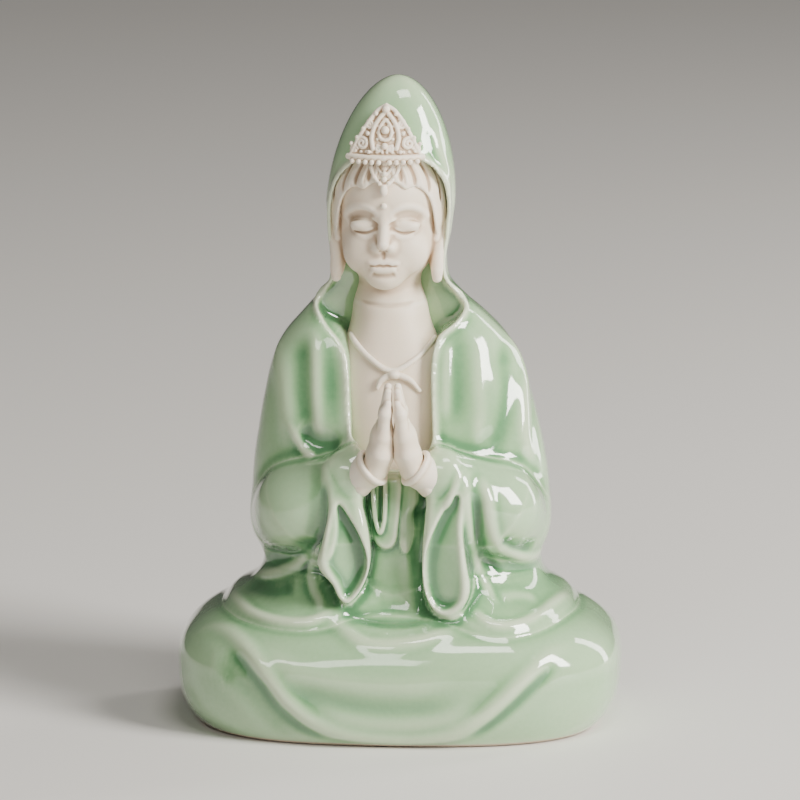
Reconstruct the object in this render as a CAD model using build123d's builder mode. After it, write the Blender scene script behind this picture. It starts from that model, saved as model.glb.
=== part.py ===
"""A seated, hooded figurine in glazed and bisque porcelain, built from its separately moulded pieces.

Millimetres. The origin is the centre of the foot and +Z is up.
The figure faces -Y, so its right hand is on the -X side.
"""

import math
import os

from build123d import *

os.makedirs("parts", exist_ok=True)

# Driving dimensions of the whole figure
HEIGHT = 147.0
LAP_HALF_WIDTH = 50.0
LAP_HALF_DEPTH = 35.0
FOOT_HALF_WIDTH = 44.0
FOOT_FRONT = 32.0
FOOT_BACK = 31.0
WALL = 3.5
LEAN = -1.5  # the head sits this far towards the figure's right
CHEST_LEAN = -0.8  # and the chest this far

# How square the level sections are: 2 is an ellipse
LAP_SQUARENESS = 2.8
TRUNK_SQUARENESS = 2.4
CHEST_SQUARENESS = 2.6
HEAD_SQUARENESS = 2.1

# Crown, a thin plate that leans back against the hair
CROWN_HALF_WIDTH = 8.2
CROWN_THICKNESS = 1.8
CROWN_RADIUS = 14.4
CROWN_TOP_RADIUS = 10.8
CROWN_FRONT_Y = -4.0  # the crown's plate lies wholly ahead of this
CROWN_REACH = 14.0

# Heights of the landmarks, as the figure sits
FOOT_RIM_Z = 0.0
HEM_Z = 27.0
KNOT_Z = 81.8
FINGERTIP_Z = 82.0
COLLAR_Z = 92.0
CHIN_Z = 99.5
BROW_BEAD_Z = 119.5
HAIRLINE_Z = 126.5
PENDANT_TOP_Z = 128.2
CROWN_BASE_Z = 129.5
CROWN_TIP_Z = 142.5

# Fine parts
CORD_RADIUS = 0.7
KNOT_RADIUS = 1.3
BEAD_RADIUS = 0.8
STRING_BEAD_RADIUS = 0.9
DROP_RADIUS = 1.2
STRING_BEADS = 3
STRING_PITCH = 1.5
STRING_SLOPE = 0.15  # each bead of the string sits this much further back than the one above
STRING_Y = -13.7  # where the beads of the string, its drop and the brow bead sit against the brow
DROP_Y = -13.3
BROW_Y = -13.0
VENT_RADIUS = 5.0
SLAB_THICKNESS = 4.0
FOOT_RECESS = 1.2
SEAM = 0.05  # slip line between two luted pieces

# The mantle's front opening starts just behind the figure's middle and runs out past its front
OPENING_BACK_Y = 2.0
OPENING_DEPTH = 40.0

# Hole in the top of the lap that joins its hollow to the trunk's
LAP_TOP_HOLE = (20.0, 10.0, 16.0)
LAP_TOP_HOLE_Z = 21.5
LAP_TOP_HOLE_HEIGHT = 20.0


def oval(z, half_width, front, back, centre_x=0.0, power=TRUNK_SQUARENESS, points=20):
    """A level, smooth, closed face with its own front and back reach, squarer when power is above 2."""
    outline = []
    for i in range(points):
        turn = 2 * math.pi * i / points
        across, forward = math.cos(turn), math.sin(turn)
        reach = back if forward > 0 else front
        x = half_width * math.copysign(abs(across) ** (2 / power), across)
        y = reach * math.copysign(abs(forward) ** (2 / power), forward)
        outline.append((centre_x + x, y))
    with BuildSketch(Plane.XY.offset(z)) as section:
        with BuildLine():
            Spline(*outline, periodic=True)
        make_face()
    return section.sketch.face()


def foot_oval(z, inset):
    """The foot's outline moved inwards, at a height."""
    return oval(
        z, FOOT_HALF_WIDTH - inset, FOOT_FRONT - inset, FOOT_BACK - inset, power=LAP_SQUARENESS
    )


def oval_loft(levels, grow=0.0, mode=Mode.ADD, power=TRUNK_SQUARENESS):
    """Lofts ovals of (z, half_width, front, back, centre_x); a positive grow moves the skin outwards."""
    sections = [
        oval(z, half_width + grow, front + grow, back + grow, centre_x, power)
        for z, half_width, front, back, centre_x in levels
    ]
    loft(sections=sections, mode=mode)


def limb(stations, hangs=False, mode=Mode.ADD):
    """Lofts ellipses along a limb, square to its way, from stations of (centre, radius across, other radius).

    The radius across is level: it runs along X on a limb that hangs, and else square to the limb's heading.
    """
    centres = [Vector(*centre) for centre, _, _ in stations]
    sections = []
    for i, (_, across, up) in enumerate(stations):
        along = (centres[min(i + 1, len(centres) - 1)] - centres[max(i - 1, 0)]).normalized()
        level = Vector(1, 0, 0) if hangs else Vector(along.Y, -along.X, 0).normalized()
        side = (level - along * level.dot(along)).normalized()
        with BuildSketch(Plane(origin=centres[i], x_dir=side, z_dir=along)) as section:
            Ellipse(across, up)
        sections.append(section.sketch.face())
    loft(sections=sections, mode=mode)


# (z, half_width, front, back, centre_x) of each skin
LAP_LEVELS = [
    (FOOT_RIM_Z, FOOT_HALF_WIDTH, FOOT_FRONT, FOOT_BACK, 0.0),
    (4.0, 47.5, 34.2, 33.4, 0.0),
    (9.0, 49.4, LAP_HALF_DEPTH, 34.6, 0.0),
    (14.0, LAP_HALF_WIDTH, 34.8, LAP_HALF_DEPTH, 0.0),
    (19.5, 48.6, 33.4, 34.0, 0.0),
    (24.5, 44.6, 30.0, 31.6, 0.0),
    (27.5, 38.5, 25.5, 29.0, 0.0),
    (29.0, 30.0, 19.0, 25.0, 0.0),
]
LAP_CAVITY_LEVELS = [level for level in LAP_LEVELS if level[0] < HEM_Z]

TRUNK_LEVELS = [
    (24.0, 40.0, 23.0, 31.0, 0.0),
    (28.5, 39.6, 22.6, 30.6, 0.0),
    (32.0, 34.6, 19.4, 28.4, 0.0),
    (37.0, 32.2, 18.0, 26.8, 0.0),
    (50.0, 34.2, 18.0, 25.6, 0.0),
    (62.0, 33.0, 17.0, 24.4, 0.0),
    (72.0, 31.0, 14.6, 23.0, -0.2),
    (80.0, 28.2, 12.0, 21.4, -0.5),
    (87.0, 24.2, 9.5, 19.6, -0.8),
    (93.0, 18.6, 7.4, 17.6, -1.2),
    (99.0, 13.8, 6.6, 16.2, LEAN),
    (107.0, 13.2, 8.4, 15.6, LEAN),
    (116.0, 14.4, 9.8, 15.8, LEAN),
    (126.0, 13.8, 10.6, 15.4, LEAN),
    (135.0, 11.2, 9.4, 13.4, LEAN),
    (142.0, 7.4, 6.6, 10.2, LEAN),
    (146.0, 3.4, 3.2, 5.6, LEAN),
    (HEIGHT, 1.2, 1.2, 2.4, LEAN),
]
CAVITY_TOP_Z = 143.0

CHEST_LEVELS = [
    (60.0, 10.4, 15.6, 8.0, CHEST_LEAN),
    (70.0, 10.6, 14.4, 8.0, -0.9),
    (80.0, 10.8, 12.6, 8.0, -1.0),
    (88.0, 9.6, 10.4, 8.0, -1.2),
    (COLLAR_Z, 8.0, 8.4, 8.0, -1.3),
]
UNDER_ROBE_LEVELS = [
    (28.0, 14.0, 22.0, 4.0, 0.0),
    (40.0, 12.0, 20.4, 4.0, 0.0),
    (52.0, 11.0, 19.2, 4.0, -0.4),
    (60.0, 10.4, 17.4, 4.0, CHEST_LEAN),
]
HEAD_LEVELS = [
    (COLLAR_Z, 7.2, 6.6, 7.0, LEAN),
    (97.0, 7.0, 6.8, 7.2, LEAN),
    (CHIN_Z, 8.0, 11.4, 8.0, LEAN),
    (104.0, 9.8, 12.8, 9.2, LEAN),
    (110.0, 10.8, 13.2, 10.2, LEAN),
    (117.0, 11.2, 13.0, 10.8, LEAN),
    (HAIRLINE_Z, 10.4, 11.6, 10.2, LEAN),
    (131.0, 7.6, 8.2, 8.0, LEAN),
]
HAIR_LEVELS = [
    (120.5, 12.0, 11.6, 6.0, LEAN),
    (125.0, 12.2, 13.2, 8.0, LEAN),
    (130.0, 10.4, 12.8, 9.0, LEAN),
    (135.0, 7.4, 10.4, 8.4, LEAN),
    (138.5, 4.0, 7.0, 6.4, LEAN),
]


# Stations of the right arm's sleeve, cuff and hand: (centre, radius across, other radius)
FOREARM = [
    ((-25.0, -5.0, 46.5), 9.0, 12.0),
    ((-22.5, -13.0, 49.5), 9.0, 10.8),
    ((-16.0, -19.0, 54.5), 8.0, 9.0),
    ((-9.0, -21.5, 58.5), 6.2, 7.0),
]
HANGING_SLEEVE = [
    ((-14.0, -21.0, 57.0), 7.6, 6.5),
    ((-13.5, -23.0, 47.0), 8.0, 5.8),
    ((-13.0, -24.6, 37.0), 7.6, 5.2),
    ((-12.6, -25.2, 31.0), 5.4, 3.8),
]
CUFF = [
    ((-10.0, -21.0, 57.6), 5.3, 5.6),
    ((-6.2, -23.2, 61.4), 4.7, 4.9),
]
WRIST_BORE = [
    ((-12.0, -19.8, 55.6), 3.6, 3.9),
    ((-4.6, -24.2, 63.0), 3.6, 3.9),
]
HAND = [
    ((-9.4, -21.3, 58.2), 2.9, 3.2),
    ((-5.6, -23.8, 61.6), 2.6, 3.6),
    ((-3.3, -25.2, 65.4), 2.3, 4.6),
    ((-2.3, -26.6, 72.0), 2.0, 4.0),
    ((-1.6, -27.8, 78.0), 1.4, 2.8),
    ((-1.2, -28.4, FINGERTIP_Z), 0.9, 1.5),
]
SASH_TONGUE = [
    ((0.4, -21.0, 56.0), 4.2, 1.5),
    ((0.8, -21.8, 50.0), 4.8, 1.6),
    ((1.2, -22.2, 43.0), 3.4, 1.2),
]

# Whole skins that neighbours are cut back to
with BuildPart() as lap_skin:
    oval_loft(LAP_LEVELS, power=LAP_SQUARENESS)

with BuildPart() as head_skin:
    oval_loft(HEAD_LEVELS, power=HEAD_SQUARENESS)

with BuildPart() as chest_skin:
    oval_loft(CHEST_LEVELS, power=CHEST_SQUARENESS)

with BuildPart() as under_robe_skin:
    oval_loft(UNDER_ROBE_LEVELS, power=CHEST_SQUARENESS)

with BuildPart() as hair_skin:
    oval_loft(HAIR_LEVELS, power=HEAD_SQUARENESS)

# The front opening of the mantle, from the hem up to the brow of the hood
with BuildPart() as front_opening:
    with BuildSketch(Plane.XZ.offset(-OPENING_BACK_Y)):
        with BuildLine():
            left_edge = Spline(
                (-9.0, 20.0), (-10.4, 62.0), (-11.0, 84.0), (-13.6, COLLAR_Z), (-11.6, 104.0),
                (-12.6, 116.0), (-11.0, 128.0), (LEAN, 138.0),
            )
            right_edge = Spline(
                left_edge @ 1, (8.2, 128.0), (9.8, 116.0), (8.8, 104.0), (11.0, COLLAR_Z), (9.0, 84.0),
                (8.8, 62.0), (9.0, 20.0),
            )
            Line(right_edge @ 1, left_edge @ 0)
        make_face()
    extrude(amount=OPENING_DEPTH)

with BuildPart() as cavity:
    oval_loft([level for level in TRUNK_LEVELS if level[0] < CAVITY_TOP_Z], grow=-WALL)

# Crossed legs under the skirt: a hollow casting that stands on its own foot rim
with BuildPart() as lap:
    add(lap_skin.part)
    extrude(foot_oval(FOOT_RIM_Z, WALL), FOOT_RECESS + SLAB_THICKNESS, mode=Mode.SUBTRACT)
    oval_loft(LAP_CAVITY_LEVELS, grow=-WALL, mode=Mode.SUBTRACT, power=LAP_SQUARENESS)
    extrude(oval(LAP_TOP_HOLE_Z, *LAP_TOP_HOLE), LAP_TOP_HOLE_HEIGHT, mode=Mode.SUBTRACT)
lap.part.label = "lap"

# Flat slab luted inside the foot, with the hole that lets kiln air out
with BuildPart() as base_slab:
    extrude(foot_oval(FOOT_RECESS, WALL + SEAM), SLAB_THICKNESS)
    with Locations((0, 0, FOOT_RECESS)):
        Hole(VENT_RADIUS)
base_slab.part.label = "base_slab"

# Chest, bare between the mantle's edges, and the closed robe under it
with BuildPart() as chest:
    add(chest_skin.part)
    oval_loft(CHEST_LEVELS, grow=-WALL, mode=Mode.SUBTRACT, power=CHEST_SQUARENESS)
chest.part.label = "chest"

with BuildPart() as under_robe:
    add(under_robe_skin.part)
    oval_loft(UNDER_ROBE_LEVELS, grow=-WALL, mode=Mode.SUBTRACT, power=CHEST_SQUARENESS)
    add(lap_skin.part, mode=Mode.SUBTRACT)
under_robe.part.label = "under_robe"

# Head with its neck, hollow and open below
with BuildPart() as head:
    add(head_skin.part)
    oval_loft(HEAD_LEVELS, grow=-WALL, mode=Mode.SUBTRACT, power=HEAD_SQUARENESS)
    add(hair_skin.part, mode=Mode.SUBTRACT)
head.part.label = "head"

# Hooded mantle over head, shoulders, upper arms and back
with BuildPart() as mantle:
    oval_loft(TRUNK_LEVELS)
    add(cavity.part, mode=Mode.SUBTRACT)
    add(front_opening.part, mode=Mode.SUBTRACT)
    add(lap_skin.part, mode=Mode.SUBTRACT)
    add(head_skin.part, mode=Mode.SUBTRACT)
    add(chest_skin.part, mode=Mode.SUBTRACT)
    add(under_robe_skin.part, mode=Mode.SUBTRACT)
    add(hair_skin.part, mode=Mode.SUBTRACT)
mantle.part.label = "mantle"

# Combed hair over the brow, with the topknot that lifts the hood
with BuildPart() as hair:
    add(hair_skin.part)
    add(head_skin.part, mode=Mode.SUBTRACT)
hair.part.label = "hair"

# Pointed crown: a flat outline pushed through a leaning, conical shell
with BuildPart() as crown_shell:
    with Locations((LEAN, 0, (CROWN_BASE_Z + CROWN_TIP_Z) / 2)):
        Cone(CROWN_RADIUS, CROWN_TOP_RADIUS, CROWN_TIP_Z - CROWN_BASE_Z)
        Cone(
            CROWN_RADIUS - CROWN_THICKNESS, CROWN_TOP_RADIUS - CROWN_THICKNESS,
            CROWN_TIP_Z - CROWN_BASE_Z, mode=Mode.SUBTRACT,
        )

crown_side = [(0.93, 133.0), (0.62, 134.4), (0.42, 137.4)]
crown_rim = [(LEAN - share * CROWN_HALF_WIDTH, z) for share, z in [(1.0, CROWN_BASE_Z)] + crown_side]
crown_rim += [(LEAN, CROWN_TIP_Z)]
crown_rim += [(2 * LEAN - x, z) for x, z in reversed(crown_rim[:-1])]
with BuildPart() as crown:
    with BuildSketch(Plane.XZ.offset(-CROWN_FRONT_Y)):
        with BuildLine():
            Polyline(*crown_rim, close=True)
        make_face()
    extrude(amount=CROWN_REACH)
    add(crown_shell.part, mode=Mode.INTERSECT)
    add(hair_skin.part, mode=Mode.SUBTRACT)
    add(mantle.part, mode=Mode.SUBTRACT)
crown.part.label = "crown"

# String of beads that hangs from the crown on to the brow
with BuildPart() as crown_pendant:
    for i in range(STRING_BEADS):
        with Locations((LEAN, STRING_Y + STRING_SLOPE * i, PENDANT_TOP_Z - STRING_PITCH * i)):
            Sphere(STRING_BEAD_RADIUS)
    with Locations((LEAN, DROP_Y, PENDANT_TOP_Z - STRING_PITCH * STRING_BEADS)):
        Sphere(DROP_RADIUS)
    add(hair_skin.part, mode=Mode.SUBTRACT)
    add(head_skin.part, mode=Mode.SUBTRACT)
crown_pendant.part.label = "crown_pendant"

# Bead set between the brows
with BuildPart() as brow_bead:
    with Locations((LEAN, BROW_Y, BROW_BEAD_Z)):
        Sphere(BEAD_RADIUS)
    add(head_skin.part, mode=Mode.SUBTRACT)
brow_bead.part.label = "brow_bead"

# Cord round the neck, laid on the chest, and the bow that ties it
with BuildPart() as necklace_cord:
    with BuildLine():
        cord = Spline(
            (-9.6, -9.2, 88.5),
            (-5.4, -12.4, 85.0),
            (CHEST_LEAN, -13.4, 82.8),
            (3.8, -12.6, 85.0),
            (7.6, -9.4, 88.5),
        )
    with BuildSketch(Plane(origin=cord @ 0, z_dir=cord % 0)):
        Circle(CORD_RADIUS)
    sweep()
    add(chest_skin.part, mode=Mode.SUBTRACT)
    add(mantle.part, mode=Mode.SUBTRACT)
necklace_cord.part.label = "necklace_cord"

with BuildPart() as necklace_bow:
    with BuildLine():
        tails = Spline(
            (-4.4, -13.4, 79.0),
            (-2.9, -13.7, 80.8),
            (CHEST_LEAN, -13.9, KNOT_Z),
            (2.0, -13.6, 81.0),
            (4.6, -13.0, 79.0),
        )
    with BuildSketch(Plane(origin=tails @ 0, z_dir=tails % 0)):
        Circle(CORD_RADIUS)
    sweep()
    with Locations((CHEST_LEAN, -13.8, KNOT_Z)):
        Sphere(KNOT_RADIUS)
    add(chest_skin.part, mode=Mode.SUBTRACT)
    add(necklace_cord.part, mode=Mode.SUBTRACT)
necklace_bow.part.label = "necklace_bow"

# Right arm's pieces in front of the trunk
with BuildPart() as trunk_skin:
    oval_loft(TRUNK_LEVELS)

with BuildPart() as right_hand:
    limb(HAND)
    split(bisect_by=Plane.YZ.offset(-SEAM), keep=Keep.BOTTOM)
right_hand.part.label = "right_hand"

with BuildPart() as right_cuff:
    limb(CUFF)
    limb(WRIST_BORE, mode=Mode.SUBTRACT)
    add(right_hand.part, mode=Mode.SUBTRACT)
    add(trunk_skin.part, mode=Mode.SUBTRACT)
    add(chest_skin.part, mode=Mode.SUBTRACT)
    add(under_robe_skin.part, mode=Mode.SUBTRACT)
right_cuff.part.label = "right_cuff"

with BuildPart() as right_sleeve:
    limb(FOREARM)
    limb(HANGING_SLEEVE, hangs=True)
    add(trunk_skin.part, mode=Mode.SUBTRACT)
    add(lap_skin.part, mode=Mode.SUBTRACT)
    add(chest_skin.part, mode=Mode.SUBTRACT)
    add(under_robe_skin.part, mode=Mode.SUBTRACT)
    limb(WRIST_BORE, mode=Mode.SUBTRACT)
    add(right_cuff.part, mode=Mode.SUBTRACT)
    add(right_hand.part, mode=Mode.SUBTRACT)
right_sleeve.part.label = "right_sleeve"

# The left arm mirrors the right
with BuildPart() as left_hand:
    mirror(right_hand.part, about=Plane.YZ)
left_hand.part.label = "left_hand"

with BuildPart() as left_cuff:
    mirror(right_cuff.part, about=Plane.YZ)
left_cuff.part.label = "left_cuff"

with BuildPart() as left_sleeve:
    mirror(right_sleeve.part, about=Plane.YZ)
    add(mantle.part, mode=Mode.SUBTRACT)
left_sleeve.part.label = "left_sleeve"

# Sash end that hangs from the waist between the sleeves
with BuildPart() as sash:
    limb(SASH_TONGUE, hangs=True)
    add(under_robe_skin.part, mode=Mode.SUBTRACT)
    add(chest_skin.part, mode=Mode.SUBTRACT)
    add(right_sleeve.part, mode=Mode.SUBTRACT)
    add(left_sleeve.part, mode=Mode.SUBTRACT)
    add(right_cuff.part, mode=Mode.SUBTRACT)
    add(left_cuff.part, mode=Mode.SUBTRACT)
sash.part.label = "sash"

for piece in (
    lap, base_slab, chest, under_robe, head, mantle, hair, crown, crown_pendant, brow_bead, necklace_cord,
    necklace_bow, right_hand, right_cuff, right_sleeve, left_hand, left_cuff, left_sleeve, sash,
):
    export_step(piece.part, f"parts/{piece.part.label}.step")
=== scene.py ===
"""Looks of the seated porcelain figurine.

Every skin is a distance field, finely meshed, and its glaze follows its relief.
"""

import math

import bpy
import numpy as np
import openvdb
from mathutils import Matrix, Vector


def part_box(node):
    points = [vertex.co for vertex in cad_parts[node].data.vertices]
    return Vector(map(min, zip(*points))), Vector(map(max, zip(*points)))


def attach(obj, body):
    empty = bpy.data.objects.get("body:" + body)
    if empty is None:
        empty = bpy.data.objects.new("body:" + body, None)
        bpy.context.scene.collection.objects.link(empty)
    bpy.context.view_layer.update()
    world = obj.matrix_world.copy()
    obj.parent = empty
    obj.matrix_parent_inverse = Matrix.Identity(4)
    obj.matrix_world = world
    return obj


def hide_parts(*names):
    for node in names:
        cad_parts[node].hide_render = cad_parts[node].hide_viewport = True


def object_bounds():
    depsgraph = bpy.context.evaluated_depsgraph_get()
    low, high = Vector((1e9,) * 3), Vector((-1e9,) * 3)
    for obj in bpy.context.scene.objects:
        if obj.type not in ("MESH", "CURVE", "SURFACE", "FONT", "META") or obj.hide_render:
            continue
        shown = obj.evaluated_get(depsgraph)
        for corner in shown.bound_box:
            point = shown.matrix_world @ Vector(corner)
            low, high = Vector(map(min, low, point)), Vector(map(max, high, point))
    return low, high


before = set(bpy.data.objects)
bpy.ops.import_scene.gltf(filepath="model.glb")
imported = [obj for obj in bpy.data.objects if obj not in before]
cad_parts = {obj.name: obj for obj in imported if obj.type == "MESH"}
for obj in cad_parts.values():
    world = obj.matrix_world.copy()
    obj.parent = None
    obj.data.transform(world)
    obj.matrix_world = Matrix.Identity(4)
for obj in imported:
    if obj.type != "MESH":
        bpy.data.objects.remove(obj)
cad_low, cad_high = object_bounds()

# The figure is drawn on a grid of about a millimetre: its CAD box is this many units wide, deep and high.
# The grid's origin is the middle of the foot. +Z is up and the figure faces -Y, its right hand at -X.
GRID_COUNTS = Vector((100.3, 70.0, 147.0))
GRID = np.array([(high - low) / n for low, high, n in zip(cad_low, cad_high, GRID_COUNTS)])
ORIGIN = np.array([(cad_low.x + cad_high.x) / 2, (cad_low.y + cad_high.y) / 2, cad_low.z])
COARSEN = 1.0
FAR = 60.0  # the distance given where a skin is too far off to be worked out
TINY = 1e-6  # keeps a division off zero


def grid_box(node):
    """Lowest and highest corner of a CAD node, on the grid."""
    return [(np.array(corner) - ORIGIN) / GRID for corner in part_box(node)]


# ---------------------------------------------------------------- distance fields
# A field takes points, one row each, and gives each point's distance to a skin, negative inside.


def vec(*xyz):
    return np.array(xyz, np.float32)


def egg(p, centre, radii):
    """An ellipsoid."""
    q = (p - vec(*centre)) / vec(*radii)
    size = np.sqrt((q * q).sum(1)) + TINY
    slope = q / vec(*radii)
    return size * (size - 1) / (np.sqrt((slope * slope).sum(1)) + TINY)


def pillow(p, centre, radii, power, crown):
    """A box-like ellipsoid; a higher power squares its plan, and a higher crown its side view."""
    q = p - vec(*centre)
    across = np.abs(q / vec(*radii))
    flat = (across[:, 0] ** power + across[:, 1] ** power) ** (crown / power)
    size = (flat + across[:, 2] ** crown) ** (1 / crown) + TINY
    reach = np.sqrt((q * q).sum(1))
    return np.where(size > 0.3, reach - reach / size, -0.7 * min(radii)).astype(np.float32)


def join(a, b, soft):
    """Union with a fillet about soft wide."""
    h = np.maximum(soft - np.abs(a - b), 0) / soft
    return np.minimum(a, b) - h * h * soft * 0.25


def keep(a, b, soft):
    """What a and b share, its edge rounded."""
    return -join(-a, -b, soft)


def cut(a, b, soft):
    """a with b taken away, the new edge rounded."""
    return -join(-a, b, soft)


def step(x, low, high):
    t = np.clip((x - low) / (high - low), 0, 1)
    return t * t * (3 - 2 * t)


def curve(points, closed=False, per_span=5):
    """A smooth path through the points, as many short steps."""
    pts = np.array(points, float)
    if closed:
        ends = np.vstack([pts[-1], pts, pts[0], pts[1]])
    else:
        ends = np.vstack([2 * pts[0] - pts[1], pts, 2 * pts[-1] - pts[-2]])
    path = []
    for i in range(1, len(ends) - 2):
        a, b, c, d = ends[i - 1 : i + 3]
        for t in np.linspace(0, 1, per_span, endpoint=False):
            square = (2 * a - 5 * b + 4 * c - d) * t**2
            cube = (3 * b - a - 3 * c + d) * t**3
            path.append(0.5 * (2 * b + (c - a) * t + square + cube))
    path.append(ends[-2])
    return np.array(path, np.float32)


def closed_outline(*pairs):
    """A closed outline through (x, z) places of the front view, at y = 0."""
    return curve([(x, 0, z) for x, z in pairs], closed=True, per_span=3)


def near(p, path, reach):
    """Rows of p inside the path's box grown by reach."""
    low, high = path.min(0) - reach, path.max(0) + reach
    inside = (p[:, 0] > low[0]) & (p[:, 0] < high[0])
    for axis in (1, 2):
        inside &= (p[:, axis] > low[axis]) & (p[:, axis] < high[axis])
    return np.nonzero(inside)[0]


def along(p, path):
    """Distance to the path, and how far along it each nearest place is, from 0 to 1."""
    best = np.full(len(p), 1e9, np.float32)
    place = np.zeros(len(p), np.float32)
    steps = len(path) - 1
    for i in range(steps):
        way = path[i + 1] - path[i]
        t = np.clip((p - path[i]) @ way / max(float(way @ way), 1e-9), 0, 1)
        gap = p - path[i] - t[:, None] * way
        d = np.einsum("ij,ij->i", gap, gap)
        nearer = d < best
        best = np.where(nearer, d, best)
        place = np.where(nearer, (i + t) / steps, place)
    return np.sqrt(best), place


def tube(p, path, radii, reach=6.0):
    """A round tube on a path from curve(); radii is one radius, or several evenly spaced along it."""
    out = np.full(len(p), FAR, np.float32)
    rows = near(p, path, reach + np.max(radii))
    if len(rows):
        d, t = along(p[rows], path)
        out[rows] = d - np.interp(t, np.linspace(0, 1, np.size(radii)), np.atleast_1d(radii))
    return out


def limb(p, points, radii, soft=3.0):
    """Straight tapering bones between the points, blended into one smooth form."""
    out = np.full(len(p), FAR, np.float32)
    rows = near(p, np.array(points, np.float32), max(radii) + 2 * soft)
    if len(rows):
        q = p[rows]
        body = out[rows]
        for a, b, ra, rb in zip(points[:-1], points[1:], radii[:-1], radii[1:]):
            d, t = along(q, np.array([a, b], np.float32))
            body = join(body, d - (ra + (rb - ra) * t), soft)
        out[rows] = body
    return out


def relief(p, folds):
    """How far all the folds, each (path, width, height), lift a skin; a negative height is a valley."""
    out = np.zeros(len(p), np.float32)
    for path, width, height in folds:
        rows = near(p, path, 2.4 * width)
        if len(rows):
            d, t = along(p[rows], path)
            ends = step(np.minimum(t, 1 - t), 0, 0.25)
            out[rows] += height * np.exp(-((d / width) ** 2)) * ends
    return out


def smooth_levels(levels):
    """The levels, whose first column is z, with smooth values filled in between them."""
    table = np.array(levels, float)
    zs = table[:, 0]
    z = np.linspace(zs[0], zs[-1], 12 * len(zs))
    i = np.clip(np.searchsorted(zs, z) - 1, 0, len(zs) - 2)
    h = zs[i + 1] - zs[i]
    t = (z - zs[i]) / h
    columns = [z]
    for values in table.T[1:]:
        slopes = np.gradient(values, zs)
        columns.append(
            (2 * t**3 - 3 * t**2 + 1) * values[i]
            + (t**3 - 2 * t**2 + t) * h * slopes[i]
            + (3 * t**2 - 2 * t**3) * values[i + 1]
            + (t**3 - t**2) * h * slopes[i + 1]
        )
    return np.array(columns)


def stack(p, levels, power=2.3, dome=None, crown=2.0):
    """Ovals through smooth levels of (z, half width, front reach, back reach, middle x), under a dome."""
    z = p[:, 2]
    half, front, back, middle = (np.interp(z, levels[0], column) for column in levels[1:])
    x, y = p[:, 0] - middle, p[:, 1]
    rise = np.maximum(z - levels[0][-1], 0) if dome else np.zeros_like(z)
    reach = np.where(y < 0, front, back)
    size = ((np.abs(x) / half) ** power + (np.abs(y) / reach) ** power) ** (1 / power) + TINY
    if dome:
        size = (size**crown + (rise / dome) ** crown) ** (1 / crown)
    r = np.sqrt(x * x + y * y + rise * rise)
    return np.where(size > 0.25, r - r / size, -0.75 * np.minimum(half, reach)).astype(np.float32)


def outline_distance(p, outline):
    """Signed distance in the front view to a closed outline given at y = 0, negative inside it."""
    out = np.full(len(p), FAR, np.float32)
    flat = p * vec(1, 0, 1)
    rows = near(flat, outline, 8.0)
    if not len(rows):
        return out
    q = flat[rows]
    d, _ = along(q, outline)
    inside = np.zeros(len(q), bool)
    for a, b in zip(outline[:-1], outline[1:]):
        crosses = (a[2] > q[:, 2]) != (b[2] > q[:, 2])
        rise = b[2] - a[2]
        if abs(rise) > TINY:
            crosses &= q[:, 0] < a[0] + (b[0] - a[0]) * (q[:, 2] - a[2]) / rise
            inside ^= crosses
    out[rows] = np.where(inside, -d, d)
    return out


def on_skin(field, pairs, towards="back"):
    """3-D points where rays at (x, z), from the front or the back, first meet a skin."""
    sign = 1 if towards == "back" else -1
    depth = sign * np.arange(-50, 50, 0.5)
    points = []
    for x, z in pairs:
        ray = np.stack([np.full_like(depth, x), depth, np.full_like(depth, z)], 1).astype(np.float32)
        values = field(ray)
        inside = np.nonzero(values < 0)[0]
        first = inside[0] if len(inside) else int(np.argmin(values))
        share = 0.0
        if len(inside) and first > 0:
            share = values[first - 1] / (values[first - 1] - values[first])
        points.append(ray[max(first - 1, 0)] * (1 - share) + ray[first] * share if share else ray[first])
    return points


# ---------------------------------------------------------------- meshing


def boxed(field, low, high, cell):
    """Samples a field on a grid, finely only where its skin may lie."""
    block = 4
    batch = 4000  # blocks sampled at a time
    counts = np.ceil((high - low) / cell / block).astype(int) + 1
    big = cell * block
    middles = [low[a] + big * (np.arange(counts[a]) + 0.5) - cell / 2 for a in range(3)]
    grid = np.stack(np.meshgrid(*middles, indexing="ij"), -1).reshape(-1, 3).astype(np.float32)
    rough = field(grid).reshape(counts)
    fine = rough.repeat(block, 0).repeat(block, 1).repeat(block, 2)
    corners = np.argwhere(np.abs(rough) < big * 1.6) * block
    offsets = np.stack(np.meshgrid(*[np.arange(block)] * 3, indexing="ij"), -1).reshape(-1, 3)
    for start in range(0, len(corners), batch):
        index = (corners[start : start + batch, None, :] + offsets).reshape(-1, 3)
        fine[index[:, 0], index[:, 1], index[:, 2]] = field((low + index * cell).astype(np.float32))
    return fine


def skin_slopes(field, points, h):
    """Unit normals and steepness of a field."""
    g = np.empty_like(points)
    for a in range(3):
        d = np.zeros(3, np.float32)
        d[a] = h
        g[:, a] = (field(points + d) - field(points - d)) / (2 * h)
    size = np.maximum(np.linalg.norm(g, axis=1), 0.2)
    return g / size[:, None], size


def store_relief(mesh, field, points):
    """Keeps how far each place stands proud, at two scales: over 0.5 on ridges, under it in valleys."""
    _, steepness = skin_slopes(field, points, 0.4)
    for label, h in (("relief_fine", 0.6), ("relief_broad", 2.0)):
        total = -6 * field(points)
        for a in range(3):
            d = np.zeros(3, np.float32)
            d[a] = h
            total += field(points + d) + field(points - d)
        bend = np.clip(total / h / steepness, -3, 3)
        attribute = mesh.attributes.new(label, "FLOAT", "POINT")
        attribute.data.foreach_set("value", (0.5 + 0.5 * np.tanh(bend)).astype(np.float32))


CRUMB = 60  # a loose piece of fewer faces than this is a crumb
PULLS = 3  # how many times a mesh's corners are pulled on to the exact skin


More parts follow.
